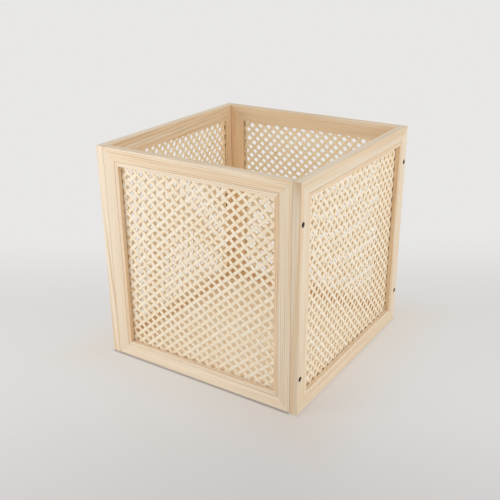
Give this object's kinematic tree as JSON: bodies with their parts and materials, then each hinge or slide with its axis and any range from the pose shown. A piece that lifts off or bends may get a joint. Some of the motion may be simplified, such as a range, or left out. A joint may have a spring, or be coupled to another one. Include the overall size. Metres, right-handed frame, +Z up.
{
  "type": "woven lattice storage cube",
  "caption": "Open-topped storage cube of pale mitred wooden frames filled with diagonally woven flat strips, screwed at the corners round a thin bottom board.",
  "frame": {"origin": "middle of the base, on the surface that the cube stands on", "axes": "+Z up out of the open top, -Y out of the front panel, +X out of the right side panel"},
  "size_m": [0.3, 0.3, 0.3],
  "materials": {
    "frame": "pale planed wood, matt",
    "bead": "pale planed wood, matt",
    "lattice": "pale split cane strips, smooth skin with a slight sheen",
    "board": "thin plywood, sanded",
    "screw": "blackened steel, half gloss"
  },
  "bodies": {
    "root": {"back_bottom_bead": "bead", "back_bottom_rail": "frame", "back_lattice": "lattice", "back_left_bead": "bead", "back_left_stile": "frame", "back_right_bead": "bead", "back_right_stile": "frame", "back_top_bead": "bead", "back_top_rail": "frame", "bottom_board": "board", "front_bottom_bead": "bead", "front_bottom_rail": "frame", "front_lattice": "lattice", "front_left_bead": "bead", "front_left_stile": "frame", "front_right_bead": "bead", "front_right_stile": "frame", "front_top_bead": "bead", "front_top_rail": "frame", "left_back_bead": "bead", "left_back_lower_screw": "screw", "left_back_stile": "frame", "left_back_upper_screw": "screw", "left_bottom_bead": "bead", "left_bottom_rail": "frame", "left_front_bead": "bead", "left_front_lower_screw": "screw", "left_front_stile": "frame", "left_front_upper_screw": "screw", "left_lattice": "lattice", "left_top_bead": "bead", "left_top_rail": "frame", "right_back_bead": "bead", "right_back_lower_screw": "screw", "right_back_stile": "frame", "right_back_upper_screw": "screw", "right_bottom_bead": "bead", "right_bottom_rail": "frame", "right_front_bead": "bead", "right_front_lower_screw": "screw", "right_front_stile": "frame", "right_front_upper_screw": "screw", "right_lattice": "lattice", "right_top_bead": "bead", "right_top_rail": "frame"}
  },
  "joints": []
}
